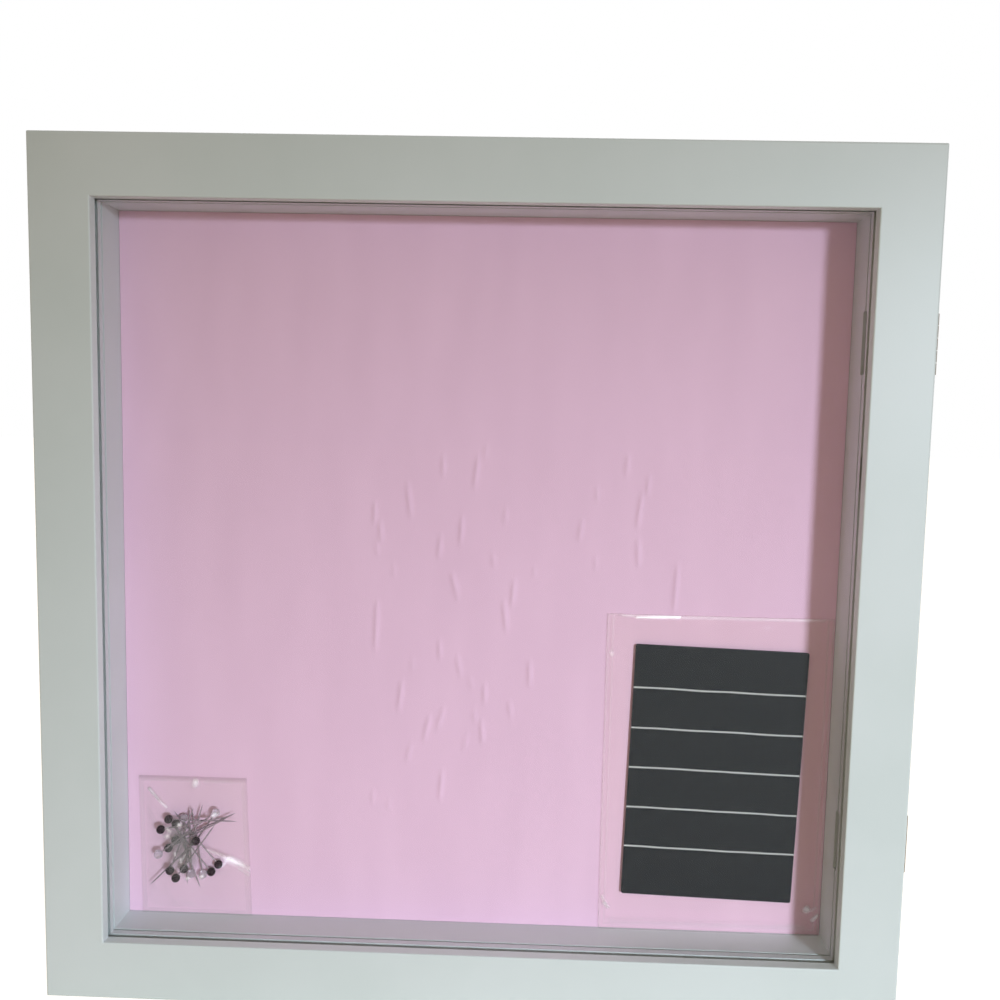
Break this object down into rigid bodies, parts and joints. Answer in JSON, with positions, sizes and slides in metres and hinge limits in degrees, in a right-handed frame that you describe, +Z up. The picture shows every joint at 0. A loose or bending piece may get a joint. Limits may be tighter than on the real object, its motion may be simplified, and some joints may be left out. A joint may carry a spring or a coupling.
{
  "type": "shadow box frame",
  "caption": "Square shadow box frame: a deep box with a lined pin board behind a hinged, glazed front door, with loose display accessories inside.",
  "frame": {"origin": "middle of the flat bottom face, half way through the closed frame's depth", "axes": "+Z up, the glazed front faces -Y, the hinges are on the +X side"},
  "size_m": [0.3138, 0.0365, 0.31],
  "materials": {
    "painted_wood": "smooth satin grey-white paint",
    "board": "soft fibre board",
    "lining": "matt pink cloth with short upright creases",
    "back_board": "raw fibreboard",
    "steel": "bright zinc",
    "hinge_steel": "satin nickel",
    "nickel": "polished nickel",
    "glass": "clear float glass",
    "film": "clear wrinkled film",
    "dark_heads": "glossy near-black",
    "clear_heads": "clear pearl",
    "card": "black card with thin white rules"
  },
  "bodies": {
    "box": {"box_rail_top": "painted_wood", "box_rail_bottom": "painted_wood", "box_stile_left": "painted_wood", "box_stile_right": "painted_wood", "box_corner_nails": "steel", "pin_board": "board", "lining": "lining", "back_panel": "back_board", "back_panel_nails": "steel", "box_magnets": "nickel", "sawtooth_hanger": "steel", "hanger_nails": "steel", "hinge_upper_box_leaf": "hinge_steel", "hinge_upper_pin": "steel", "hinge_lower_box_leaf": "hinge_steel", "hinge_lower_pin": "steel", "box_hinge_screws": "steel", "pin_bag_back_film": "film", "pin_bag_front_film": "film", "dark_pin_heads": "dark_heads", "clear_pin_heads": "clear_heads", "pin_shafts": "steel", "label_sleeve": "film", "label_card": "card"},
    "door": {"door_rail_top": "painted_wood", "door_rail_bottom": "painted_wood", "door_stile_left": "painted_wood", "door_stile_right": "painted_wood", "door_corner_nails": "steel", "glass_bead_top": "painted_wood", "glass_bead_bottom": "painted_wood", "glass_bead_left": "painted_wood", "glass_bead_right": "painted_wood", "glass_pane": "glass", "door_magnets": "nickel", "hinge_upper_door_leaf": "hinge_steel", "hinge_lower_door_leaf": "hinge_steel", "door_hinge_screws": "steel"}
  },
  "joints": [
    {"name": "door_hinge", "type": "hinge", "parent": "box", "child": "door", "pos_m": [0.15705, -0.008, 0.155], "axis": [0, 0, 1], "range_deg": [0, 180]}
  ]
}
